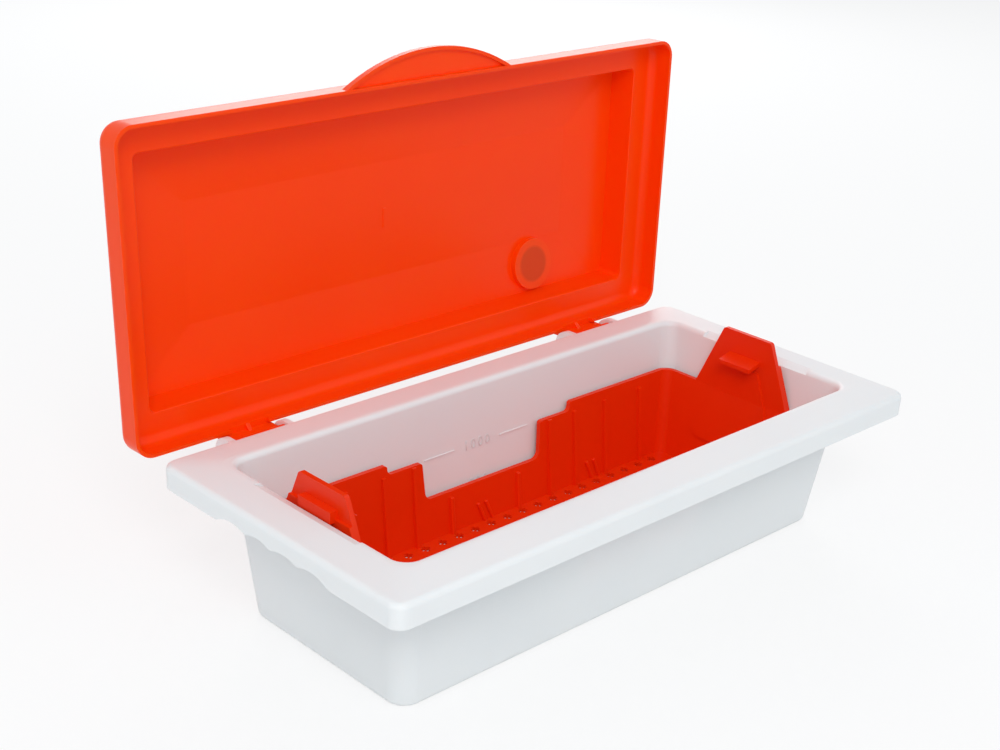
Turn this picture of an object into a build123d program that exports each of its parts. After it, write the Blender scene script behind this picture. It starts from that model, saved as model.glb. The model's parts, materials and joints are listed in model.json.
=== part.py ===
from build123d import *
import math
import os

# Instrument disinfection tray: a white tub with volume lines, an orange lid on two snap hinges,
# an orange lift-out basket and a date dial on the lid. Millimetres. +X runs along the length,
# +Y towards the hinges, +Z up. The origin is the centre of the tub's underside.
# The lid is built closed and then turned back to its open stop, where it stands at rest.

# Tub: a drafted basin in a flange that falls a little outwards, with a turned-down skirt
RIM_LENGTH = 312.4
RIM_FRONT_Y = -74.6
RIM_BACK_Y = 73.75
RIM_CORNER = 6.0
RIM_EDGE_RADIUS = 2.5
RIM_FALL = 1.7
COLLAR = 3.5
TUB_HEIGHT = 70.0
SKIRT_DROP = 12.0
PLATE = 2.0
BASIN_LENGTH = 262.0
BASIN_WIDTH = 98.0
BASIN_CORNER = 9.0
BASIN_EDGE_RADIUS = 3.0
BASIN_FLOOR_RADIUS = 2.5
MOUTH_RADIUS = 2.5
DRAFT = 5.8

# Bevelled seat in the inner edge of each end flange, and the pad that keeps it thick enough
SEAT_WIDTH = 63.2
SEAT_DEPTH = 2.0
SEAT_INNER_X = 136.0
SEAT_OUTER_X = 140.5
SEAT_PAD_LENGTH = 6.0
SEAT_PAD_MARGIN = 2.0
SEAT_PAD_DEPTH = 1.6

# Finger scallops in a shallow notch along the lower edge of both end skirts
SCALLOP_PITCH = 16.5
SCALLOP_HEIGHT = 1.8
SCALLOP_COUNT = 4
SCALLOP_NOTCH = 1.2

# Raised volume lines on the back wall, at 1 litre and half a litre
MARK_HEIGHTS = (41.0, 22.0)
MARK_LENGTH = 18.0
MARK_OFFSET = 23.5
MARK_LINE = 0.7
MARK_RELIEF = 0.35

# Hinges: two pairs of ears behind the skirt, each with a moulded pin between them
PIVOT_Y = 77.8
PIVOT_Z = 62.3
PIN_RADIUS = 1.75
EAR_THICKNESS = 3.0
EAR_RADIUS = 7.4
EAR_CENTRE_Y = 79.4
EAR_CENTRE_Z = 59.1
INNER_EAR_X = 87.0
OUTER_EAR_X = 117.5

# Lid, as it lies closed: a skirt, a flat ledge and a deep dome with a hipped flat top
LIP_Z = 70.3
LID_BACK_Y = 75.5
LID_LENGTH = 318.4
LID_WIDTH = 136.7
LID_CORNER = 8.5
LID_DEPTH = 13.9
LID_WALL = 1.5
LID_EDGE_RADIUS = 5.0
LEDGE_DEPTH = 11.4
LEDGE_RADIUS = 4.0
DOME_LENGTH = 289.6
DOME_WIDTH = 108.5
DOME_CORNER = 2.5
DOME_SHRINK = 2.4
DOME_MOUTH_RADIUS = 0.6
HIP_DEPTH = 25.0
TOP_LENGTH = 226.0
TOP_WIDTH = 53.6
TOP_CORNER = 1.0
TOP_DEPTH = 27.8

# Trace of the moulding gate: a short raised bar inside the flat top
GATE_X = -4.1
GATE_Y = 6.5
GATE_WIDTH = 1.6
GATE_LENGTH = 9.4
GATE_RELIEF = 0.4

# Half-moon pull tab on the front edge, dished towards the underside
TAB_HALF_CHORD = 47.5
TAB_REACH = 12.8
TAB_FACE_DEPTH = 2.0
TAB_LIP = 1.6
TAB_LIP_DEPTH = 0.4
TAB_BACK_DEPTH = 4.2
TAB_EDGE_RADIUS = 1.0

# Hinge leaves with open clips that snap over the pins, and a rib in the notch before each leaf
LEAF_X = 90.4
LEAF_WIDTH = 25.8
LEAF_FRONT_Y = 76.6
LEAF_THICKNESS = 1.9
LEAF_BEND_Z = 76.0
LEAF_TOP_Z = 80.0
NOTCH_X = 102.6
NOTCH_WIDTH = 20.0
NOTCH_DEPTH = 2.3
RIB_IN_NOTCH = 2.0
CLIP_RADIUS = 3.3
PIN_CLEARANCE = 0.08
CLIP_GAP_START = -40.0
CLIP_GAP_SWEEP = 85.0
HEEL_REACH = 3.95
HEEL_WIDTH = 2.0
CLOSING_ANGLE = 91.3

# Round boss inside the sloping hip, and behind it a well with a date dial on a headed stud
WELL_X = 91.3
WELL_Y = 46.1
BOSS_RADIUS = 12.8
BOSS_RISE = 3.0
WELL_RADIUS = 11.3
WELL_FLOOR = 1.5
STUD_RADIUS = 2.0
STUD_HEAD_RADIUS = 2.8
STUD_HEAD = 0.8
DIAL_RADIUS = 11.0
DIAL_THICKNESS = 1.4
DIAL_GAP = 0.2
DIAL_CLEARANCE = 0.05
GRIP_WIDTH = 1.8
GRIP_LENGTH = 6.2
GRIP_HEIGHT = 0.8
GRIP_CENTRE = 7.0

# Basket: drafted like the basin and standing on the basin's floor
BASKET_BASE_Z = 2.15
BASKET_TOP_Z = 47.5
BASKET_TOP_LENGTH = 262.6
BASKET_TOP_WIDTH = 99.1
BASKET_CORNER = 7.0
BASKET_WALL = 2.2
BASKET_FLOOR = 1.95
BASKET_EDGE_RADIUS = 2.0
STEP_HALF = 57.7
STEP_Z = 42.9
CUTOUT_TOP_HALF = 37.4
CUTOUT_FOOT_HALF = 36.2
CUTOUT_Z = 24.5
CREST_ROUND = 1.5
STEP_ROUND = 2.8
CUTOUT_ROUND = 4.0

# End handles: trapezoid plates, thicker below, with a hook bar outside and a finger ledge inside
HANDLE_TOP_Z = 80.0
HANDLE_FOOT_HALF = 28.1
HANDLE_TOP_HALF = 14.2
HANDLE_TOP_ROUND = 1.8
HANDLE_FOOT_ROUND = 0.8
HANDLE_OVERLAP = 1.2
BACKING = 1.5
BACKING_TOP_Z = 69.0
HOOK_REACH = 3.7
HOOK_WIDTH = 20.0
HOOK_LOW_Z = 67.5
HOOK_HIGH_Z = 72.5
LEDGE_TIP_X = 121.0
LEDGE_ROOT_Z = 69.2
LEDGE_TIP_Z = 66.8
LEDGE_THICKNESS = 2.0
LEDGE_WIDTH = 18.8
PANEL_TOP_HALF = 9.2
PANEL_TOP_Z = 63.0
PANEL_FOOT_HALF = 26.0
PANEL_FOOT_Z = 20.0
PANEL_ROUND = 4.0
PANEL_RELIEF = 1.2

# Ribs inside the long walls and drain holes in the floor
RIB_WIDTH = 2.0
RIB_ROUND = 0.5
RIB_FOOT_RELIEF = 2.1
RIB_TOP_RELIEF = 1.4
TALL_RIBS = (43.0, 60.5, 82.0, 107.5)
TALL_RIB_Z = 42.5
SHORT_RIB = 21.3
SHORT_RIB_Z = 22.0
SLANT_CENTRES = (-73.5, 0.0, 73.5)
SLANT_PITCH = 4.9
SLANT_RUN = 4.6
SLANT_TOP_Z = 13.8
SLANT_WIDTH = 1.5
SLANT_RELIEF = 1.3
SLANT_ROUND = 0.5
HOLE_SPAN = 4.6
HOLE_ARM = 2.0
HOLE_PITCH_X = 10.3
HOLE_PITCH_Y = 9.65
HOLE_COLUMNS = 23
HOLE_ROWS = 9
HOLE_MARGIN = 1.0

SPARE = 10.0
NEAR = 0.05

WIDENING = math.tan(math.radians(DRAFT))
SKIRT_Z = TUB_HEIGHT - SKIRT_DROP
RIM_WIDTH = RIM_BACK_Y - RIM_FRONT_Y
RIM_CENTRE_Y = (RIM_BACK_Y + RIM_FRONT_Y) / 2
HOLLOW_LENGTH = BASIN_LENGTH - 2 * PLATE
HOLLOW_WIDTH = BASIN_WIDTH - 2 * PLATE
MOUTH_LENGTH = HOLLOW_LENGTH + 2 * (TUB_HEIGHT - PLATE) * WIDENING
MOUTH_WIDTH = HOLLOW_WIDTH + 2 * (TUB_HEIGHT - PLATE) * WIDENING
PIVOT = Axis((0, PIVOT_Y, PIVOT_Z), (1, 0, 0))


def plan(z, length, width, corner, centre_y=0.0):
    """A rounded rectangle in the horizontal plane at z."""
    return Pos(0, centre_y, z) * RectangleRounded(length, width, corner)


def block(low, high, length, width, corner, centre_y=0.0):
    """An upright block with rounded corners between two heights."""
    return extrude(plan(low, length, width, corner, centre_y), high - low)


def drafted_block(low, high, length, width, corner):
    """A rounded block that widens upwards by the draft; length and width are those at the foot."""
    growth = 2 * (high - low) * WIDENING
    head = plan(high, length + growth, width + growth, corner)
    return loft([plan(low, length, width, corner), head], ruled=True)


def top_edges(shape):
    return shape.edges().group_by(Axis.Z)[-1]


def bottom_edges(shape):
    return shape.edges().group_by(Axis.Z)[0]


def edges_at(shape, z):
    """The edges whose middle lies at height z."""
    return [edge for edge in shape.edges() if abs(edge.center().Z - z) < NEAR]


def within(edges, length, width, centre_y=0.0):
    """The edges whose middle lies inside or on a rectangle."""
    kept = [edge for edge in edges if abs(edge.center().X) < length / 2 + NEAR]
    return [edge for edge in kept if abs(edge.center().Y - centre_y) < width / 2 + NEAR]


def side_face(points, x):
    """A face across the length at x, given by (y, z) points."""
    return make_face(Polyline(*[(x, y, z) for y, z in points], close=True))


def side_prism(points, start_x, thickness):
    """A prism along X with a cross-section given by (y, z) points."""
    return extrude(side_face(points, start_x), thickness, dir=(1, 0, 0))


def end_prism(points, width):
    """A prism along Y, centred on the XZ plane, with a cross-section given by (x, z) points."""
    face = make_face(Polyline(*[(x, 0, z) for x, z in points], close=True))
    return extrude(face, width / 2, dir=(0, 1, 0), both=True)


def mirrored(points):
    """Points with a first coordinate on the right, followed by their mirror images on the left."""
    return points + [(-first, second) for first, second in reversed(points)]


def both_ends(shape):
    """The shape and its mirror image at the other end of the tray."""
    return [shape, mirror(shape, about=Plane.YZ)]


def both_sides(shape):
    """The shape and its mirror image at the other long side."""
    return [shape, mirror(shape, about=Plane.XZ)]


def pivot_cylinder(radius, start_x, length):
    """A cylinder along the hinge axis."""
    return Pos(start_x + length / 2, PIVOT_Y, PIVOT_Z) * Rot(0, 90, 0) * Cylinder(radius, length)


# Tub

def make_rim(inset):
    """Skirt and flange as one solid whose top falls outwards, drawn in by the inset."""
    length = RIM_LENGTH - 2 * inset
    width = RIM_WIDTH - 2 * inset
    corner = RIM_CORNER - inset
    edge_z = TUB_HEIGHT - RIM_FALL - inset
    edge = plan(edge_z, length, width, corner, RIM_CENTRE_Y)
    collar = plan(TUB_HEIGHT - inset, MOUTH_LENGTH + 2 * COLLAR, MOUTH_WIDTH + 2 * COLLAR, corner)
    rim = block(SKIRT_Z, edge_z, length, width, corner, RIM_CENTRE_Y) + loft([edge, collar], ruled=True)
    return fillet(edges_at(rim, edge_z), RIM_EDGE_RADIUS - inset)


def make_shell():
    """Basin, flange and turned-down skirt in one wall thickness."""
    basin = drafted_block(0, TUB_HEIGHT - PLATE / 2, BASIN_LENGTH, BASIN_WIDTH, BASIN_CORNER)
    basin = fillet(bottom_edges(basin), BASIN_EDGE_RADIUS)
    hollow = drafted_block(PLATE, TUB_HEIGHT, HOLLOW_LENGTH, HOLLOW_WIDTH, BASIN_CORNER - PLATE)
    hollow = fillet(bottom_edges(hollow), BASIN_FLOOR_RADIUS)
    shell = make_rim(0) - make_rim(PLATE) + basin - hollow
    return fillet(within(top_edges(shell), MOUTH_LENGTH, MOUTH_WIDTH), MOUTH_RADIUS)


def make_seat():
    """The bevelled wedge cut from the inner edge of an end flange."""
    deep_z = TUB_HEIGHT - SEAT_DEPTH
    points = [
        (SEAT_INNER_X - SPARE, deep_z),
        (SEAT_INNER_X, deep_z),
        (SEAT_OUTER_X, TUB_HEIGHT),
        (SEAT_OUTER_X, TUB_HEIGHT + SPARE),
        (SEAT_INNER_X - SPARE, TUB_HEIGHT + SPARE),
    ]
    return end_prism(points, SEAT_WIDTH)


def make_seat_pad():
    """Extra thickness under a seat, outside the basin wall."""
    pad_z = TUB_HEIGHT - PLATE - SEAT_PAD_DEPTH / 2
    pad = Box(SEAT_PAD_LENGTH, SEAT_WIDTH + 2 * SEAT_PAD_MARGIN, SEAT_PAD_DEPTH)
    return Pos(SEAT_OUTER_X - SEAT_PAD_MARGIN / 2, 0, pad_z) * pad


def make_scallops():
    """A shallow notch in the lower edge of an end skirt, and the arcs above it."""
    half = SCALLOP_PITCH / 2
    radius = (half ** 2 + SCALLOP_HEIGHT ** 2) / (2 * SCALLOP_HEIGHT)
    centre_z = SKIRT_Z + SCALLOP_NOTCH + SCALLOP_HEIGHT - radius
    depth = 2 * (PLATE + NEAR)
    arc = Rot(0, 90, 0) * Cylinder(radius, depth)
    first = -(SCALLOP_COUNT - 1) * half
    notch = Box(depth, SCALLOP_COUNT * SCALLOP_PITCH, 2 * SCALLOP_NOTCH)
    arcs = [Pos(RIM_LENGTH / 2, first + i * SCALLOP_PITCH, centre_z) * arc for i in range(SCALLOP_COUNT)]
    return [Pos(RIM_LENGTH / 2, 0, SKIRT_Z) * notch] + arcs


def make_marks():
    """Fine raised lines on the inner face of the back wall, one pair for each volume."""
    line = Rot(-DRAFT, 0, 0) * Box(MARK_LENGTH, 2 * MARK_RELIEF, MARK_LINE)
    marks = []
    for height in MARK_HEIGHTS:
        wall_y = HOLLOW_WIDTH / 2 + (height - PLATE) * WIDENING
        marks += both_ends(Pos(MARK_OFFSET, wall_y, height) * line)
    return marks


def make_ear(start_x):
    """A hinge ear: a plate behind the skirt with a round back."""
    root_y = RIM_BACK_Y - PLATE / 2
    top_z = EAR_CENTRE_Z + EAR_RADIUS
    root = side_prism(
        [(root_y, SKIRT_Z), (EAR_CENTRE_Y, SKIRT_Z), (EAR_CENTRE_Y, top_z), (root_y, top_z)],
        start_x,
        EAR_THICKNESS,
    )
    place = Pos(start_x + EAR_THICKNESS / 2, EAR_CENTRE_Y, EAR_CENTRE_Z)
    back = place * Rot(0, 90, 0) * Cylinder(EAR_RADIUS, EAR_THICKNESS)
    below = Pos(start_x, EAR_CENTRE_Y, SKIRT_Z - SPARE) * Box(SPARE, 4 * EAR_RADIUS, 2 * SPARE)
    return root + (back - below)


def make_tub():
    pin_length = OUTER_EAR_X - INNER_EAR_X
    pin = pivot_cylinder(PIN_RADIUS, INNER_EAR_X + EAR_THICKNESS / 2, pin_length)
    hinge = make_ear(INNER_EAR_X) + make_ear(OUTER_EAR_X) + pin
    tub = make_shell() + both_ends(make_seat_pad())
    tub = tub - both_ends(make_seat())
    for cutter in make_scallops():
        tub = tub - both_ends(cutter)
    return tub + make_marks() + both_ends(hinge)


# Lid

LID_CENTRE_Y = LID_BACK_Y - LID_WIDTH / 2
LID_FRONT_Y = LID_BACK_Y - LID_WIDTH
LEDGE_Z = LIP_Z + LEDGE_DEPTH
NOTCH_Z = LIP_Z + NOTCH_DEPTH


def dome_form(grow, low_z, rise):
    """The dome's form: steep walls to the hip line and gentle hips up to a flat top."""
    corner = DOME_CORNER + grow
    mouth = plan(low_z, DOME_LENGTH + 2 * grow, DOME_WIDTH + 2 * grow, corner, LID_CENTRE_Y)
    hip_length = DOME_LENGTH - DOME_SHRINK + 2 * grow
    hip_width = DOME_WIDTH - DOME_SHRINK + 2 * grow
    hip = plan(LIP_Z + HIP_DEPTH + rise, hip_length, hip_width, corner, LID_CENTRE_Y)
    top = plan(LIP_Z + TOP_DEPTH + rise, TOP_LENGTH + grow, TOP_WIDTH + grow, TOP_CORNER + grow, LID_CENTRE_Y)
    return loft([mouth, hip], ruled=True) + loft([hip, top], ruled=True)


def make_lid_shell():
    """Skirt, ledge and dome, with the mouth down: the outer form, then the two hollows."""
    outer = block(LIP_Z, LIP_Z + LID_DEPTH, LID_LENGTH, LID_WIDTH, LID_CORNER, LID_CENTRE_Y)
    outer = fillet(top_edges(outer), LID_EDGE_RADIUS) + dome_form(LID_WALL, LEDGE_Z, LID_WALL)
    inner_length = LID_LENGTH - 2 * LID_WALL
    inner_width = LID_WIDTH - 2 * LID_WALL
    inner = block(LIP_Z, LEDGE_Z, inner_length, inner_width, LID_CORNER - LID_WALL, LID_CENTRE_Y)
    inner = fillet(top_edges(inner), LEDGE_RADIUS)
    return outer, inner, dome_form(0, LEDGE_Z - PLATE, 0)


def make_tab():
    """Half-moon pull tab whose raised lip follows the arc."""
    radius = (TAB_HALF_CHORD ** 2 + TAB_REACH ** 2) / (2 * TAB_REACH)
    front_y = LID_FRONT_Y - TAB_REACH
    centre_y = front_y + radius
    height = TAB_BACK_DEPTH - TAB_LIP_DEPTH
    disc = Pos(0, centre_y, LIP_Z + (TAB_BACK_DEPTH + TAB_LIP_DEPTH) / 2) * Cylinder(radius, height)
    disc = fillet(top_edges(disc), TAB_EDGE_RADIUS)
    span = 3 * TAB_HALF_CHORD
    keep = Pos(0, front_y, LIP_Z) * Box(span, 2 * (TAB_REACH + LID_WALL / 2), 2 * SPARE)
    face_z = LIP_Z + TAB_FACE_DEPTH
    dish = Pos(0, centre_y, face_z - SPARE) * Cylinder(radius - TAB_LIP, 2 * SPARE)
    front = Pos(0, front_y, LIP_Z) * Box(span, 2 * TAB_REACH, 4 * SPARE)
    return (disc & keep) - (dish & front)


def make_leaf():
    """A hinge leaf behind the back skirt, with an open clip round the pin and a heel for the stop."""
    back_y = LEAF_FRONT_Y + LEAF_THICKNESS
    root_y = LID_BACK_Y - LID_WALL / 2
    plate = side_prism(
        [
            (LEAF_FRONT_Y, PIVOT_Z),
            (back_y, PIVOT_Z),
            (back_y, LEAF_BEND_Z),
            (root_y, LEAF_TOP_Z),
            (root_y, NOTCH_Z),
            (LEAF_FRONT_Y, NOTCH_Z),
        ],
        LEAF_X,
        LEAF_WIDTH,
    )
    clip = pivot_cylinder(CLIP_RADIUS, LEAF_X, LEAF_WIDTH)
    heel = side_prism(
        [
            (PIVOT_Y, PIVOT_Z - HEEL_REACH),
            (PIVOT_Y, PIVOT_Z - PIN_RADIUS),
            (PIVOT_Y + HEEL_WIDTH, PIVOT_Z - PIN_RADIUS),
            (PIVOT_Y + HEEL_WIDTH, PIVOT_Z - HEEL_REACH),
        ],
        LEAF_X,
        LEAF_WIDTH,
    )
    reach = 2 * CLIP_RADIUS
    gap_points = [(PIVOT_Y, PIVOT_Z)]
    for part in (0, 0.5, 1):
        turn = math.radians(CLIP_GAP_START + part * CLIP_GAP_SWEEP)
        gap_points.append((PIVOT_Y + reach * math.cos(turn), PIVOT_Z + reach * math.sin(turn)))
    gap = side_prism(gap_points, LEAF_X, LEAF_WIDTH)
    bore = pivot_cylinder(PIN_RADIUS + PIN_CLEARANCE, LEAF_X, LEAF_WIDTH)
    return plate + clip + heel - gap - bore


def make_notch():
    """The opening in the lip before a leaf."""
    notch = Box(NOTCH_WIDTH, 2 * LID_WALL, 2 * NOTCH_DEPTH)
    return Pos(NOTCH_X, LID_BACK_Y - LID_WALL / 2, LIP_Z) * notch


def make_notch_rib():
    """The small wedge left in the middle of a notch, from the lip down to the leaf's face."""
    wall_y = LID_BACK_Y - LID_WALL
    deep_y = LEAF_FRONT_Y + LEAF_THICKNESS / 2
    low_z = NOTCH_Z - (LEAF_FRONT_Y - wall_y)
    high_z = NOTCH_Z + LID_WALL
    points = [(wall_y, high_z), (deep_y, high_z), (deep_y, low_z), (LEAF_FRONT_Y, low_z), (wall_y, NOTCH_Z)]
    return side_prism(points, NOTCH_X - RIB_IN_NOTCH / 2, RIB_IN_NOTCH)


# The boss, the well and the dial stand square to the hip, which slopes down to the back
HIP_RUN = (DOME_WIDTH - DOME_SHRINK - TOP_WIDTH) / 2
HIP_TILT = math.atan2(TOP_DEPTH - HIP_DEPTH, HIP_RUN)
HIP_DROP = (WELL_Y - LID_CENTRE_Y - TOP_WIDTH / 2) * math.tan(HIP_TILT)
BOSS_FACE_Z = LIP_Z + TOP_DEPTH - HIP_DROP - BOSS_RISE / math.cos(HIP_TILT)
WELL_PLACE = Pos(WELL_X, WELL_Y, BOSS_FACE_Z) * Rot(-math.degrees(HIP_TILT), 0, 0)


def well_cylinder(radius, low, high):
    """A cylinder square to the hip, between two heights over the boss's face."""
    return WELL_PLACE * Pos(0, 0, (low + high) / 2) * Cylinder(radius, high - low)


def make_well():
    """The boss, its hollow and the headed stud that carries the dial."""
    boss = well_cylinder(BOSS_RADIUS, 0, BOSS_RISE + LID_WALL / 2)
    hollow = well_cylinder(WELL_RADIUS, WELL_FLOOR, WELL_FLOOR + SPARE)
    head_low = WELL_FLOOR + DIAL_THICKNESS + 2 * DIAL_GAP
    stud = well_cylinder(STUD_RADIUS, WELL_FLOOR, head_low)
    head = well_cylinder(STUD_HEAD_RADIUS, head_low, head_low + STUD_HEAD)
    return boss, hollow, stud + head


def make_lid():
    outer, skirt_hollow, dome_hollow = make_lid_shell()
    boss, well, stud = make_well()
    gate = Pos(GATE_X, GATE_Y, LIP_Z + TOP_DEPTH) * Box(GATE_WIDTH, GATE_LENGTH, 2 * GATE_RELIEF)
    lid = outer + make_tab() - skirt_hollow - dome_hollow
    mouth = within(edges_at(lid, LEDGE_Z), DOME_LENGTH, DOME_WIDTH, LID_CENTRE_Y)
    lid = fillet(mouth, DOME_MOUTH_RADIUS)
    lid = lid - both_ends(make_notch())
    lid = lid + both_ends(make_leaf() + make_notch_rib()) + boss + gate - well + stud
    return lid.rotate(PIVOT, -CLOSING_ANGLE)


def make_dial():
    """A flat ring with two finger grips, lying in the well under the stud's head."""
    low = WELL_FLOOR + DIAL_GAP
    high = low + DIAL_THICKNESS
    ring = well_cylinder(DIAL_RADIUS, low, high)
    bore = well_cylinder(STUD_RADIUS + DIAL_CLEARANCE, 0, SPARE)
    grip = Box(GRIP_WIDTH, GRIP_LENGTH, GRIP_HEIGHT)
    grips = [WELL_PLACE * Pos(0, side * GRIP_CENTRE, high + GRIP_HEIGHT / 2) * grip for side in (-1, 1)]
    return (ring + grips - bore).rotate(PIVOT, -CLOSING_ANGLE)


# Basket

BASKET_RISE = BASKET_TOP_Z - BASKET_BASE_Z
BASKET_FOOT_LENGTH = BASKET_TOP_LENGTH - 2 * BASKET_RISE * WIDENING
BASKET_FOOT_WIDTH = BASKET_TOP_WIDTH - 2 * BASKET_RISE * WIDENING
PLATE_OUTER_X = BASKET_TOP_LENGTH / 2
PLATE_INNER_X = PLATE_OUTER_X - BASKET_WALL
FLOOR_TOP_Z = BASKET_BASE_Z + BASKET_FLOOR
RIB_FOOT_Z = BASKET_BASE_Z + BASKET_FLOOR / 2


def inner_wall_y(z):
    """Distance of a long wall's inner face from the middle, at height z."""
    return BASKET_TOP_WIDTH / 2 - BASKET_WALL - (BASKET_TOP_Z - z) * WIDENING


def basket_hollow(margin):
    """The space inside the walls, drawn in at the ends by the margin."""
    widening = 2 * BASKET_FLOOR * WIDENING
    length = BASKET_FOOT_LENGTH - 2 * BASKET_WALL + widening - 2 * margin
    width = BASKET_FOOT_WIDTH - 2 * BASKET_WALL + widening
    return drafted_block(FLOOR_TOP_Z, BASKET_TOP_Z, length, width, BASKET_CORNER - BASKET_WALL)


def is_corner(vertex, x, z):
    """Whether a vertex of the outline lies at this place on either side."""
    return abs(abs(vertex.X) - x) < NEAR and abs(vertex.Z - z) < NEAR


def make_wall_outline():
    """The outline of the long walls: full height at the ends, one step down, then the cut-out.
    It ends a hair over the walls, so that no two faces coincide when they are cut to it."""
    end_x = PLATE_OUTER_X + SPARE
    top_z = BASKET_TOP_Z + NEAR
    points = mirrored([
        (CUTOUT_FOOT_HALF, CUTOUT_Z),
        (CUTOUT_TOP_HALF, STEP_Z),
        (STEP_HALF, STEP_Z),
        (STEP_HALF, top_z),
        (end_x, top_z),
        (end_x, -SPARE),
    ])
    outline = make_face(Polyline(*[(x, 0, z) for x, z in points], close=True))
    feet = [v for v in outline.vertices() if is_corner(v, CUTOUT_FOOT_HALF, CUTOUT_Z)]
    outline = fillet(feet, CUTOUT_ROUND)
    steps = [v for v in outline.vertices() if is_corner(v, STEP_HALF, STEP_Z)]
    outline = fillet(steps, STEP_ROUND)
    crests = [v for v in outline.vertices() if is_corner(v, CUTOUT_TOP_HALF, STEP_Z)]
    crests += [v for v in outline.vertices() if is_corner(v, STEP_HALF, top_z)]
    outline = fillet(crests, CREST_ROUND)
    return extrude(outline, BASKET_TOP_WIDTH, dir=(0, 1, 0), both=True)


def make_drain_grid():
    """The drained middle of the floor: its plain footprint, and the sheet with plus-shaped holes."""
    plus = Rectangle(HOLE_SPAN, HOLE_ARM) + Rectangle(HOLE_ARM, HOLE_SPAN)
    grid = GridLocations(HOLE_PITCH_X, HOLE_PITCH_Y, HOLE_COLUMNS, HOLE_ROWS)
    margin = HOLE_SPAN + 2 * HOLE_MARGIN
    sheet = Rectangle((HOLE_COLUMNS - 1) * HOLE_PITCH_X + margin, (HOLE_ROWS - 1) * HOLE_PITCH_Y + margin)
    drained = sheet - [place * plus for place in grid]
    return [extrude(Pos(0, 0, BASKET_BASE_Z) * face, BASKET_FLOOR) for face in (sheet, drained)]


def make_handle():
    """The end handle at +X: plate, outer hook bar and inner finger ledge."""
    wing = HANDLE_FOOT_HALF + 2 * HANDLE_FOOT_ROUND
    points = mirrored([
        (HANDLE_TOP_HALF, HANDLE_TOP_Z),
        (HANDLE_FOOT_HALF, BASKET_TOP_Z),
        (wing, BASKET_TOP_Z),
        (wing, BASKET_TOP_Z - HANDLE_OVERLAP),
    ])
    outline = side_face(points, PLATE_INNER_X)
    tops = [v for v in outline.vertices() if abs(v.Z - HANDLE_TOP_Z) < NEAR]
    outline = fillet(tops, HANDLE_TOP_ROUND)
    feet = [v for v in outline.vertices() if abs(abs(v.Y) - HANDLE_FOOT_HALF) < NEAR]
    outline = fillet(feet, HANDLE_FOOT_ROUND)
    plate = extrude(outline, BASKET_WALL, dir=(1, 0, 0))
    below = Pos(PLATE_OUTER_X, 0, BACKING_TOP_Z / 2) * Box(4 * BASKET_WALL, BASKET_TOP_WIDTH, BACKING_TOP_Z)
    backing = extrude(outline, BASKET_WALL + BACKING, dir=(1, 0, 0)) & below
    root_x = PLATE_OUTER_X - BASKET_WALL / 2
    hook = Box(PLATE_OUTER_X + HOOK_REACH - root_x, HOOK_WIDTH, HOOK_HIGH_Z - HOOK_LOW_Z)
    hook = Pos((PLATE_OUTER_X + HOOK_REACH + root_x) / 2, 0, (HOOK_LOW_Z + HOOK_HIGH_Z) / 2) * hook
    ledge = end_prism(
        [
            (root_x, LEDGE_ROOT_Z),
            (LEDGE_TIP_X, LEDGE_TIP_Z),
            (LEDGE_TIP_X, LEDGE_TIP_Z - LEDGE_THICKNESS),
            (root_x, LEDGE_ROOT_Z - LEDGE_THICKNESS),
        ],
        LEDGE_WIDTH,
    )
    return plate + backing + hook + ledge


def make_panel():
    """A slightly raised trapezoid on the inner face of the +X end."""
    start_x = PLATE_INNER_X - SPARE
    outline = side_face(mirrored([(PANEL_TOP_HALF, PANEL_TOP_Z), (PANEL_FOOT_HALF, PANEL_FOOT_Z)]), start_x)
    feet = [v for v in outline.vertices() if abs(v.Z - PANEL_FOOT_Z) < NEAR]
    prism = extrude(fillet(feet, PANEL_ROUND), PLATE_OUTER_X - BASKET_WALL / 2 - start_x, dir=(1, 0, 0))
    above = Box(2 * (PLATE_INNER_X - PANEL_RELIEF), BASKET_TOP_WIDTH, 2 * SPARE)
    upper = Pos(0, 0, BASKET_TOP_Z + SPARE) * above
    return prism - basket_hollow(PANEL_RELIEF) - upper


def rib_front_y(z):
    """Distance of a rib's front from the middle: it stands out more towards the foot."""
    share = (z - RIB_FOOT_Z) / (TALL_RIB_Z - RIB_FOOT_Z)
    return inner_wall_y(z) - RIB_FOOT_RELIEF + share * (RIB_FOOT_RELIEF - RIB_TOP_RELIEF)


def round_front(bar, radius):
    """A bar with rounded edges all round its front face, the one nearest the middle."""
    return fillet(bar.faces().sort_by(Axis.Y)[0].edges(), radius)


def make_rib(x, top_z):
    """An upright rib on the inner face of the back wall."""
    points = [
        (rib_front_y(RIB_FOOT_Z), RIB_FOOT_Z),
        (inner_wall_y(RIB_FOOT_Z) + BASKET_WALL / 2, RIB_FOOT_Z),
        (inner_wall_y(top_z) + BASKET_WALL / 2, top_z),
        (rib_front_y(top_z), top_z),
    ]
    return round_front(side_prism(points, x - RIB_WIDTH / 2, RIB_WIDTH), RIB_ROUND)


def make_slant_rib(x):
    """A small leaning rib at the foot of the back wall."""
    middle_z = (RIB_FOOT_Z + SLANT_TOP_Z) / 2
    rise = SLANT_TOP_Z - RIB_FOOT_Z
    lean = math.degrees(math.atan2(SLANT_RUN, rise))
    bar = round_front(Box(SLANT_WIDTH, 2 * SLANT_RELIEF, math.hypot(SLANT_RUN, rise)), SLANT_ROUND)
    return Pos(x, inner_wall_y(middle_z), middle_z) * Rot(-DRAFT, 0, 0) * Rot(0, -lean, 0) * bar


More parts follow.
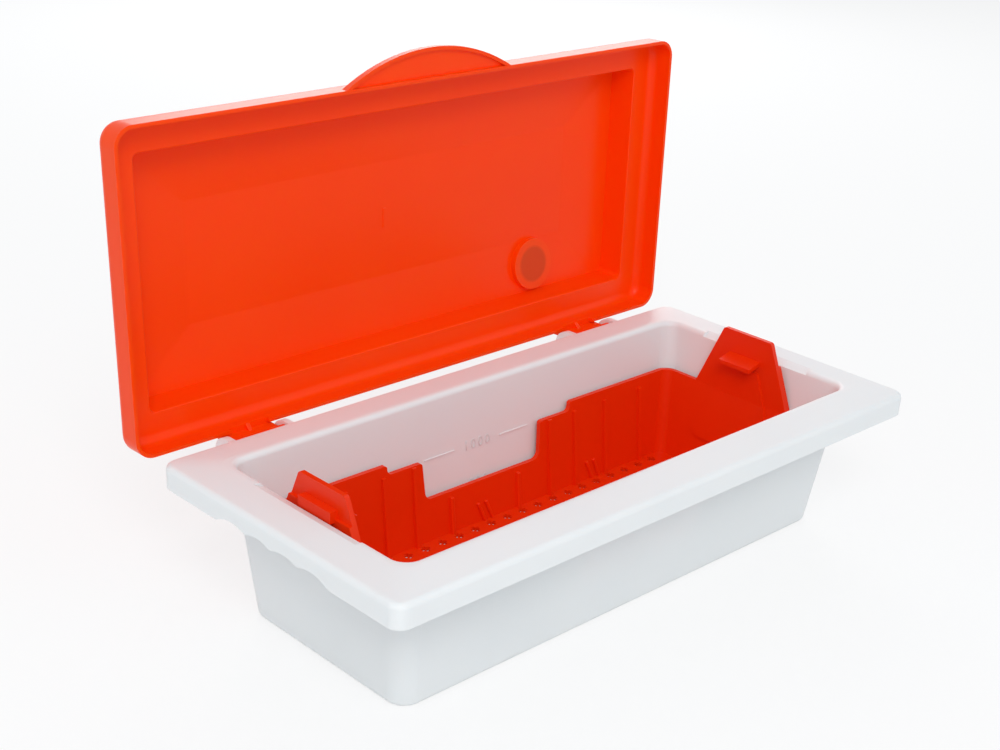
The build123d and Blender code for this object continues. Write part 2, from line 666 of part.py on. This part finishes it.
def make_ribs():
    ribs = both_ends(make_rib(SHORT_RIB, SHORT_RIB_Z))
    for x in TALL_RIBS:
        ribs += both_ends(make_rib(x, TALL_RIB_Z))
    for centre in SLANT_CENTRES:
        ribs += [make_slant_rib(centre - SLANT_PITCH / 2), make_slant_rib(centre + SLANT_PITCH / 2)]
    return [copy for rib in ribs for copy in both_sides(rib)]


def make_basket():
    outer = drafted_block(BASKET_BASE_Z, BASKET_TOP_Z, BASKET_FOOT_LENGTH, BASKET_FOOT_WIDTH, BASKET_CORNER)
    outer = fillet(bottom_edges(outer), BASKET_EDGE_RADIUS)
    walls = (outer - basket_hollow(0)) & make_wall_outline()
    plain, drained = make_drain_grid()
    walls = walls - plain + drained
    walls = walls + make_ribs()
    return walls + both_ends(make_panel()) + both_ends(make_handle())


os.makedirs("parts", exist_ok=True)
export_step(make_tub(), "parts/tub.step")
export_step(make_lid(), "parts/lid.step")
export_step(make_dial(), "parts/date_dial.step")
export_step(make_basket(), "parts/basket.step")
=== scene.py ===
import json
import math

import bmesh
import bpy
from mathutils import Matrix, Vector


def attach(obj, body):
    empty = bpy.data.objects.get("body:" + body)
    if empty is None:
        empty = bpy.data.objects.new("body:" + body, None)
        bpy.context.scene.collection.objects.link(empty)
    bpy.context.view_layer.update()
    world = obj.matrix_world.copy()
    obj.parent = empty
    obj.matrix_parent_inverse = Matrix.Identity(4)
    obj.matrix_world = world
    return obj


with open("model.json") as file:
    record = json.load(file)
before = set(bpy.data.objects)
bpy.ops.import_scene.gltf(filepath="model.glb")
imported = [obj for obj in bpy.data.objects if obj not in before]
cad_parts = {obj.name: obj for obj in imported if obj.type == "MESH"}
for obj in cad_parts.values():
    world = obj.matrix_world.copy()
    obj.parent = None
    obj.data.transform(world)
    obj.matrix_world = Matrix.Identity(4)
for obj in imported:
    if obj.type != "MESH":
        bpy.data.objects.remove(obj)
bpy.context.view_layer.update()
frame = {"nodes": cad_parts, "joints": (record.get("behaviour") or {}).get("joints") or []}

MM = 0.001

# Camera of the photograph, fitted to the tray's long straight edges
CAMERA_PLACE = Vector((-468.2, -430.3, 351.8)) * MM
CAMERA_YAW = math.radians(44.147)
CAMERA_PITCH = math.radians(-27.731)
CAMERA_ROLL = math.radians(2.685)
LENS_MM = 57.29
SENSOR_MM = 36.0
SHIFT_X = 0.0285
SHIFT_Y = 0.1478
CLIP_NEAR = 0.01
CLIP_FAR = 50

# Back wall of the tub, with the raised numbers: its slope, a point of its inner face, the marks' heights
WALL_DRAFT = math.radians(5.8)
WALL_FOOT_Y = 47.0 * MM
WALL_FOOT_Z = 2.0 * MM
VOLUME_MARKS = (("1000", 41.0 * MM), ("500", 22.0 * MM))
NUMBER_HEIGHT = 4.6 * MM
NUMBER_SPACING = 1.35
NUMBER_RELIEF = 0.25 * MM
CAPITAL_SHARE = 0.7

# Ticks on the dial's face, which lies GRIP_HEIGHT under the tops of its finger grips
DIAL_TICKS = 12
TICK_RADIUS = 9.6 * MM
TICK_LENGTH = 1.7 * MM
TICK_WIDTH = 0.5 * MM
TICK_HEIGHT = 0.3 * MM
GRIP_HEIGHT = 0.8 * MM

# Painted shadow of the date dial on the lid over its well, standing in for the back light that the dial
# blocks: colours at shares of its reach from the dial's axis
DIAL_SHADOW_REACH = 13.2 * MM
DIAL_SHADOW_BANDS = ((0.0, "#DA4306"), (0.62, "#DA4306"), (0.74, "#FC4C06"), (1.0, "#FF4A00"))
DIAL_SHADOW_EDGE = 0.999

# Finish of a moulding: slow clouds in its colour and gloss, and the fine grain of a spark-eroded mould
CLOUD_SIZE = 60 * MM
GRAIN_SIZE = 0.9 * MM
GRAIN_STRENGTH = 0.06
GRAIN_DEPTH = 0.05 * MM
NOISE_DETAIL = 2.0
GLOSSIER = 0.04
DULLER = 0.05


def find_joint(name):
    """The frame's joint of that name."""
    return next(joint for joint in frame["joints"] if joint["name"] == name)


def linear(hex_colour):
    """sRGB hex to linear RGBA."""
    channels = [int(hex_colour[i:i + 2], 16) / 255 for i in (1, 3, 5)]
    return [c / 12.92 if c <= 0.04045 else ((c + 0.055) / 1.055) ** 2.4 for c in channels] + [1.0]


def add_node(tree, kind, inputs=None, **settings):
    """Adds a node; inputs maps a socket to a value or to another node's output."""
    node = tree.nodes.new(kind)
    for name, value in settings.items():
        setattr(node, name, value)
    for name, value in (inputs or {}).items():
        if isinstance(value, bpy.types.NodeSocket):
            tree.links.new(value, node.inputs[name])
        else:
            node.inputs[name].default_value = value
    return node


def start_material(name):
    """An empty node material and its tree."""
    material = bpy.data.materials.new(name)
    material.use_nodes = True
    material.node_tree.nodes.clear()
    return material, material.node_tree


def painted_dial_shadow(tree, place, colour):
    """The colour with a painted shadow of the date dial over its well: a duller disc inside a paler ring,
    standing in for the back light that the dial keeps from shining through the plastic.
    """
    joint = find_joint("dial_turn")
    offset = add_node(tree, "ShaderNodeVectorMath", {
        0: place, 1: Vector(joint["pos_m"]),
    }, operation="SUBTRACT")
    cross = add_node(tree, "ShaderNodeVectorMath", {
        0: offset.outputs["Vector"], 1: Vector(joint["axis"]),
    }, operation="CROSS_PRODUCT")
    radius = add_node(tree, "ShaderNodeVectorMath", {0: cross.outputs["Vector"]}, operation="LENGTH")
    bands = add_node(tree, "ShaderNodeMapRange", {"Value": radius.outputs["Value"], "From Max": DIAL_SHADOW_REACH})
    ramp = add_node(tree, "ShaderNodeValToRGB", {"Fac": bands.outputs["Result"]})
    stops = ramp.color_ramp.elements
    stops[0].position, stops[0].color = DIAL_SHADOW_BANDS[0][0], linear(DIAL_SHADOW_BANDS[0][1])
    stops[1].position, stops[1].color = DIAL_SHADOW_BANDS[-1][0], linear(DIAL_SHADOW_BANDS[-1][1])
    for position, shade in DIAL_SHADOW_BANDS[1:-1]:
        stops.new(position).color = linear(shade)
    inside = add_node(tree, "ShaderNodeMath", {
        0: bands.outputs["Result"], 1: DIAL_SHADOW_EDGE,
    }, operation="LESS_THAN")
    mix = add_node(tree, "ShaderNodeMix", {
        "Factor": inside.outputs["Value"], "A": colour, "B": ramp.outputs["Color"],
    }, data_type="RGBA")
    return mix.outputs["Result"]


def moulded_plastic(name, light, dark, roughness, surface, shade=None):
    """Injection-moulded plastic: a slow cloudy change of colour and gloss under a fine spark-eroded grain.
    surface holds the Principled sockets that are the same all over the piece; shade may paint light or shade
    into its colour, such as the dial's painted shadow on the lid."""
    material, tree = start_material(name)
    place = add_node(tree, "ShaderNodeTexCoord")
    cloud, grain = [add_node(tree, "ShaderNodeTexNoise", {
        "Vector": place.outputs["Object"], "Scale": 1 / size, "Detail": NOISE_DETAIL,
    }) for size in (CLOUD_SIZE, GRAIN_SIZE)]
    colour = add_node(tree, "ShaderNodeMix", {
        "Factor": cloud.outputs["Fac"], "A": linear(dark), "B": linear(light),
    }, data_type="RGBA")
    rough = add_node(tree, "ShaderNodeMapRange", {
        "Value": cloud.outputs["Fac"], "To Min": roughness - GLOSSIER, "To Max": roughness + DULLER,
    })
    bump = add_node(tree, "ShaderNodeBump", {
        "Height": grain.outputs["Fac"], "Strength": GRAIN_STRENGTH, "Distance": GRAIN_DEPTH,
    })
    base = colour.outputs["Result"]
    if shade:
        base = shade(tree, place.outputs["Object"], base)
    sockets = {"Base Color": base, "Roughness": rough.outputs["Result"], "Normal": bump.outputs["Normal"]}
    sockets.update(surface)
    shader = add_node(tree, "ShaderNodeBsdfPrincipled", sockets, subsurface_method="RANDOM_WALK")
    add_node(tree, "ShaderNodeOutputMaterial", {"Surface": shader.outputs["BSDF"]})
    return material


# Tub: satin white polypropylene, which takes a blush from the coloured mouldings next to it
WHITE_PP = moulded_plastic("moulded_white_polypropylene", "#ECEEEE", "#E6E9EA", 0.42, {
    "IOR": 1.49, "Specular IOR Level": 0.4,
    "Subsurface Weight": 0.35, "Subsurface Radius": (1.0, 0.9, 0.85), "Subsurface Scale": 3 * MM,
})
# Lid: glossier orange polypropylene, thin enough to glow, with the dial's shadow painted over its well as a
# dull disc
ORANGE_PP = moulded_plastic("glossy_orange_polypropylene", "#FF4A00", "#FB4000", 0.3, {
    "IOR": 1.49, "Specular IOR Level": 0.18,
    "Subsurface Weight": 0.5, "Subsurface Radius": (1.0, 0.3, 0.08), "Subsurface Scale": 3 * MM,
}, painted_dial_shadow)
# Basket: a deeper, more opaque orange with satin walls and brighter edges
RED_PP = moulded_plastic("satin_orange_polypropylene", "#EF3500", "#E82D00", 0.36, {
    "IOR": 1.49, "Specular IOR Level": 0.25,
    "Subsurface Weight": 0.2, "Subsurface Radius": (1.0, 0.2, 0.08), "Subsurface Scale": 2 * MM,
})
# Dial: harder white acetal with a dull sheen
DIAL_PP = moulded_plastic("moulded_white_acetal", "#F0F0EC", "#E8E8E4", 0.4, {"IOR": 1.48})

NODE_FINISH = {"tub": WHITE_PP, "lid": ORANGE_PP, "basket": RED_PP, "date_dial": DIAL_PP}
for node_name, finish in NODE_FINISH.items():
    node = frame["nodes"][node_name]
    node.data.materials.clear()
    node.data.materials.append(finish)


def link_piece(name, mesh, material, body):
    """A finished mesh piece that rides on a body."""
    mesh.materials.clear()
    mesh.materials.append(material)
    piece = bpy.data.objects.new(name, mesh)
    bpy.context.scene.collection.objects.link(piece)
    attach(piece, body)
    return piece


def evaluated_mesh(source):
    """The mesh that an object gives with its modifiers; the source object is removed."""
    bpy.context.view_layer.update()
    depsgraph = bpy.context.evaluated_depsgraph_get()
    mesh = bpy.data.meshes.new_from_object(source.evaluated_get(depsgraph))
    bpy.data.objects.remove(source)
    return mesh


def number_mesh(text):
    """Raised numerals, centred on their own origin, facing +Z."""
    curve = bpy.data.curves.new("numerals", "FONT")
    curve.body = text
    curve.size = NUMBER_HEIGHT / CAPITAL_SHARE
    curve.space_character = NUMBER_SPACING
    curve.extrude = NUMBER_RELIEF
    curve.align_x = "CENTER"
    curve.align_y = "CENTER"
    source = bpy.data.objects.new("numerals", curve)
    bpy.context.scene.collection.objects.link(source)
    return evaluated_mesh(source)


def make_numbers():
    """The volume numbers, moulded on the inner face of the back wall."""
    wall_up = Vector((0, math.sin(WALL_DRAFT), math.cos(WALL_DRAFT)))
    wall_out = Vector((0, -math.cos(WALL_DRAFT), math.sin(WALL_DRAFT)))
    for text, height in VOLUME_MARKS:
        wall_y = WALL_FOOT_Y + (height - WALL_FOOT_Z) * math.tan(WALL_DRAFT)
        turn = Matrix((Vector((1, 0, 0)), wall_up, wall_out)).transposed().to_4x4()
        mesh = number_mesh(text)
        mesh.transform(Matrix.Translation((0, wall_y, height)) @ turn)
        link_piece(f"volume_number_{text}", mesh, WHITE_PP, "tub_body")


def tick_tree():
    """Short bars set round a circle, each pointing at its centre."""
    tree = bpy.data.node_groups.new("ring_of_ticks", "GeometryNodeTree")
    tree.interface.new_socket("Geometry", in_out="OUTPUT", socket_type="NodeSocketGeometry")
    sizes = {
        "Count": "NodeSocketInt", "Radius": "NodeSocketFloat", "Bar": "NodeSocketVector",
        "Material": "NodeSocketMaterial",
    }
    for name, kind in sizes.items():
        tree.interface.new_socket(name, in_out="INPUT", socket_type=kind)
    given = add_node(tree, "NodeGroupInput").outputs
    ring = add_node(tree, "GeometryNodeMeshCircle", {"Vertices": given["Count"], "Radius": given["Radius"]})
    bar = add_node(tree, "GeometryNodeMeshCube", {"Size": given["Bar"]})
    place = add_node(tree, "GeometryNodeInputPosition")
    turn = add_node(tree, "FunctionNodeAlignRotationToVector", {
        "Vector": place.outputs["Position"],
    }, axis="X")
    set_out = add_node(tree, "GeometryNodeInstanceOnPoints", {
        "Points": ring.outputs["Mesh"], "Instance": bar.outputs["Mesh"], "Rotation": turn.outputs["Rotation"],
    })
    real = add_node(tree, "GeometryNodeRealizeInstances", {"Geometry": set_out.outputs["Instances"]})
    finish = add_node(tree, "GeometryNodeSetMaterial", {
        "Geometry": real.outputs["Geometry"], "Material": given["Material"],
    })
    add_node(tree, "NodeGroupOutput", {"Geometry": finish.outputs["Geometry"]})
    return tree


def make_dial_ticks():
    """Raised ticks near the dial's edge, one for each month."""
    tree = tick_tree()
    source = bpy.data.objects.new("ticks", bpy.data.meshes.new("ticks"))
    bpy.context.scene.collection.objects.link(source)
    modifier = source.modifiers.new("ticks", "NODES")
    modifier.node_group = tree
    values = {
        "Count": DIAL_TICKS, "Radius": TICK_RADIUS, "Bar": (TICK_LENGTH, TICK_WIDTH, TICK_HEIGHT),
        "Material": DIAL_PP,
    }
    for item in tree.interface.items_tree:
        if item.in_out == "INPUT":
            modifier[item.identifier] = values[item.name]
    mesh = evaluated_mesh(source)
    joint = find_joint("dial_turn")
    axis = Vector(joint["axis"])
    centre = Vector(joint["pos_m"])
    reach = max((corner.co - centre).dot(axis) for corner in frame["nodes"]["date_dial"].data.vertices)
    turn = axis.to_track_quat("Z", "Y").to_matrix().to_4x4()
    mesh.transform(Matrix.Translation(centre + axis * (reach - GRIP_HEIGHT)) @ turn)
    link_piece("dial_ticks", mesh, DIAL_PP, "dial_body")


make_numbers()
make_dial_ticks()


# Studio: a white floor under even light, a soft key before the tray and a lamp behind the lid
STUDIO_LIGHT = 0.7
FLOOR_GLOW = 0.7
FLOOR_REACH = 6
KEY_LAMP = {"place": (-0.72, -0.84, 1.07), "target": (0, 0, 0.07), "size": 0.6, "power": 8.2}
BACK_LAMP = {"place": (0.9, 1.1, 0.7), "target": (0, 0.1, 0.15), "size": 0.8, "power": 5}


def camera_axes():
    """Right, up and forward of the photograph's camera."""
    level = math.cos(CAMERA_PITCH)
    forward = Vector((math.sin(CAMERA_YAW) * level, math.cos(CAMERA_YAW) * level, math.sin(CAMERA_PITCH)))
    side = Vector((math.cos(CAMERA_YAW), -math.sin(CAMERA_YAW), 0))
    lift = side.cross(forward)
    right = math.cos(CAMERA_ROLL) * side + math.sin(CAMERA_ROLL) * lift
    up = math.cos(CAMERA_ROLL) * lift - math.sin(CAMERA_ROLL) * side
    return right, up, forward


def make_camera():
    """The photograph's camera."""
    right, up, forward = camera_axes()
    data = bpy.data.cameras.new("camera")
    data.sensor_width = SENSOR_MM
    data.lens = LENS_MM
    data.shift_x = SHIFT_X
    data.shift_y = SHIFT_Y
    data.clip_start = CLIP_NEAR
    data.clip_end = CLIP_FAR
    camera = bpy.data.objects.new("camera", data)
    bpy.context.scene.collection.objects.link(camera)
    turn = Matrix((right, up, -forward)).transposed().to_4x4()
    camera.matrix_world = Matrix.Translation(CAMERA_PLACE) @ turn
    bpy.context.scene.camera = camera


def make_lamp(name, place, target, size, power):
    """A square lamp that looks from place to target."""
    data = bpy.data.lights.new(name, "AREA")
    data.shape = "SQUARE"
    data.size = size
    data.energy = power
    lamp = bpy.data.objects.new(name, data)
    bpy.context.scene.collection.objects.link(lamp)
    lamp.location = place
    lamp.rotation_euler = (Vector(target) - Vector(place)).to_track_quat("-Z", "Y").to_euler()


def seen_directly(tree):
    """1 for the rays that show a surface, straight or by way of gloss or glass, and 0 for lighting."""
    path = add_node(tree, "ShaderNodeLightPath")
    mirrored = add_node(tree, "ShaderNodeMath", {
        0: path.outputs["Is Glossy Ray"], 1: path.outputs["Is Transmission Ray"],
    }, operation="MAXIMUM")
    seen = add_node(tree, "ShaderNodeMath", {
        0: path.outputs["Is Camera Ray"], 1: mirrored.outputs["Value"],
    }, operation="MAXIMUM")
    return seen.outputs["Value"]


def make_floor():
    """White paper that is lifted towards white where it is seen, and keeps the tray's shadow."""
    material, tree = start_material("white_studio_floor")
    paper = add_node(tree, "ShaderNodeBsdfDiffuse", {"Color": linear("#F8F8F8")})
    glow = add_node(tree, "ShaderNodeEmission", {"Color": linear("#FFFFFF"), "Strength": 1.0})
    share = add_node(tree, "ShaderNodeMath", {0: seen_directly(tree), 1: FLOOR_GLOW}, operation="MULTIPLY")
    lift = add_node(tree, "ShaderNodeMixShader", {
        0: share.outputs["Value"], 1: paper.outputs["BSDF"], 2: glow.outputs["Emission"],
    })
    add_node(tree, "ShaderNodeOutputMaterial", {"Surface": lift.outputs["Shader"]})
    shape = bmesh.new()
    bmesh.ops.create_grid(shape, x_segments=1, y_segments=1, size=FLOOR_REACH)
    mesh = bpy.data.meshes.new("floor")
    shape.to_mesh(mesh)
    shape.free()
    mesh.materials.append(material)
    floor = bpy.data.objects.new("floor", mesh)
    bpy.context.scene.collection.objects.link(floor)


def make_world():
    """White where it is seen, and a cooler, weaker light on the tray."""
    world = bpy.data.worlds.new("studio")
    bpy.context.scene.world = world
    world.use_nodes = True
    tree = world.node_tree
    tree.nodes.clear()
    seen = add_node(tree, "ShaderNodeBackground", {"Color": linear("#FFFFFF"), "Strength": 1.0})
    light = add_node(tree, "ShaderNodeBackground", {"Color": linear("#F4F8FC"), "Strength": STUDIO_LIGHT})
    mix = add_node(tree, "ShaderNodeMixShader", {
        0: seen_directly(tree), 1: light.outputs["Background"], 2: seen.outputs["Background"],
    })
    add_node(tree, "ShaderNodeOutputWorld", {"Surface": mix.outputs["Shader"]})


make_camera()
make_lamp("key", **KEY_LAMP)
make_lamp("back", **BACK_LAMP)
make_floor()
make_world()
bpy.context.scene.view_settings.view_transform = "Standard"
